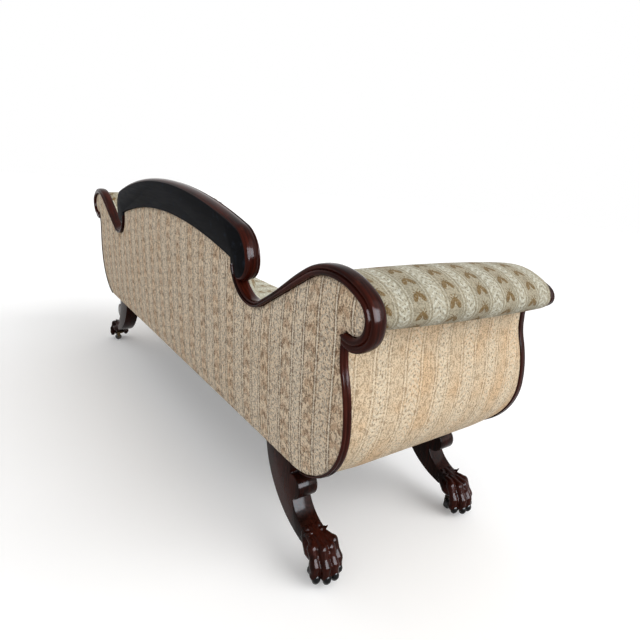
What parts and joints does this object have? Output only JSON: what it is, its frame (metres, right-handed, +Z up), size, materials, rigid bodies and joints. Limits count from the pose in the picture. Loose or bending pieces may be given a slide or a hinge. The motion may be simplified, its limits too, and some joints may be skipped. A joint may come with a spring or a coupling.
{
  "type": "empire sofa",
  "caption": "Long empire sofa with a scrolled back, arched crest, rolled padded arms, striped brocade covers and sabre legs with carved paws on swivelling castors.",
  "frame": {"origin": "on the floor under the castors, below the middle of the sofa's length and depth", "axes": "+X along the length towards the sitter's left arm, front towards -Y, +Z up"},
  "size_m": [2.116, 0.6374, 0.8715],
  "materials": {
    "brocade": "woven",
    "mahogany": "polished",
    "ebonised_wood": "satin",
    "frame_beech": "bare",
    "jute": "woven",
    "dust_cloth": "woven",
    "aged_brass": "tarnished",
    "iron": "dull"
  },
  "bodies": {
    "sofa": {"arm_facing_left": "mahogany", "arm_facing_right": "mahogany", "arm_pad_left": "brocade", "arm_pad_right": "brocade", "arm_rosettes": "mahogany", "arm_tacking_rail_left": "frame_beech", "arm_tacking_rail_right": "frame_beech", "arm_top_rail_left": "frame_beech", "arm_top_rail_right": "frame_beech", "back_post_left": "frame_beech", "back_post_right": "frame_beech", "back_scroll_moulding_left": "mahogany", "back_scroll_moulding_right": "mahogany", "back_stay_rail": "frame_beech", "back_top_rail": "frame_beech", "back_uprights": "frame_beech", "castor_plate_front_left": "aged_brass", "castor_plate_front_right": "aged_brass", "castor_plate_rear_left": "aged_brass", "castor_plate_rear_right": "aged_brass", "castor_screws": "iron", "corner_blocks": "frame_beech", "crest_bead": "mahogany", "crest_rail": "ebonised_wood", "dust_cover": "dust_cloth", "end_trim_left": "mahogany", "end_trim_right": "mahogany", "front_show_rail": "mahogany", "inside_back_pad": "brocade", "leg_bolts": "iron", "leg_front_left": "mahogany", "leg_front_right": "mahogany", "leg_rear_left": "mahogany", "leg_rear_right": "mahogany", "outer_back_cover": "brocade", "outside_arm_panel_left": "brocade", "outside_arm_panel_right": "brocade", "seat_bearers": "frame_beech", "seat_hessian": "jute", "seat_pad": "brocade", "seat_rail_back": "frame_beech", "seat_rail_front": "frame_beech", "seat_rail_left": "frame_beech", "seat_rail_right": "frame_beech", "seat_webbing": "jute"},
    "castor_fork_front_left": {"castor_fork_front_left": "aged_brass", "castor_axle_front_left": "iron"},
    "castor_wheel_front_left": {"castor_wheel_front_left": "aged_brass"},
    "castor_fork_front_right": {"castor_fork_front_right": "aged_brass", "castor_axle_front_right": "iron"},
    "castor_wheel_front_right": {"castor_wheel_front_right": "aged_brass"},
    "castor_fork_rear_left": {"castor_fork_rear_left": "aged_brass", "castor_axle_rear_left": "iron"},
    "castor_wheel_rear_left": {"castor_wheel_rear_left": "aged_brass"},
    "castor_fork_rear_right": {"castor_fork_rear_right": "aged_brass", "castor_axle_rear_right": "iron"},
    "castor_wheel_rear_right": {"castor_wheel_rear_right": "aged_brass"}
  },
  "joints": [
    {"name": "castor_swivel_front_left", "type": "hinge", "parent": "sofa", "child": "castor_fork_front_left", "pos_m": [-0.906, -0.27171, 0.039], "axis": [0, 0, 1], "continuous": true},
    {"name": "castor_roll_front_left", "type": "hinge", "parent": "castor_fork_front_left", "child": "castor_wheel_front_left", "pos_m": [-0.906, -0.25771, 0.015], "axis": [1, 0, 0], "continuous": true},
    {"name": "castor_swivel_front_right", "type": "hinge", "parent": "sofa", "child": "castor_fork_front_right", "pos_m": [0.906, -0.27171, 0.039], "axis": [0, 0, 1], "continuous": true},
    {"name": "castor_roll_front_right", "type": "hinge", "parent": "castor_fork_front_right", "child": "castor_wheel_front_right", "pos_m": [0.906, -0.25771, 0.015], "axis": [1, 0, 0], "continuous": true},
    {"name": "castor_swivel_rear_left", "type": "hinge", "parent": "sofa", "child": "castor_fork_rear_left", "pos_m": [-0.906, 0.23129, 0.039], "axis": [0, 0, 1], "continuous": true},
    {"name": "castor_roll_rear_left", "type": "hinge", "parent": "castor_fork_rear_left", "child": "castor_wheel_rear_left", "pos_m": [-0.906, 0.24529, 0.015], "axis": [1, 0, 0], "continuous": true},
    {"name": "castor_swivel_rear_right", "type": "hinge", "parent": "sofa", "child": "castor_fork_rear_right", "pos_m": [0.906, 0.23129, 0.039], "axis": [0, 0, 1], "continuous": true},
    {"name": "castor_roll_rear_right", "type": "hinge", "parent": "castor_fork_rear_right", "child": "castor_wheel_rear_right", "pos_m": [0.906, 0.24529, 0.015], "axis": [1, 0, 0], "continuous": true}
  ]
}
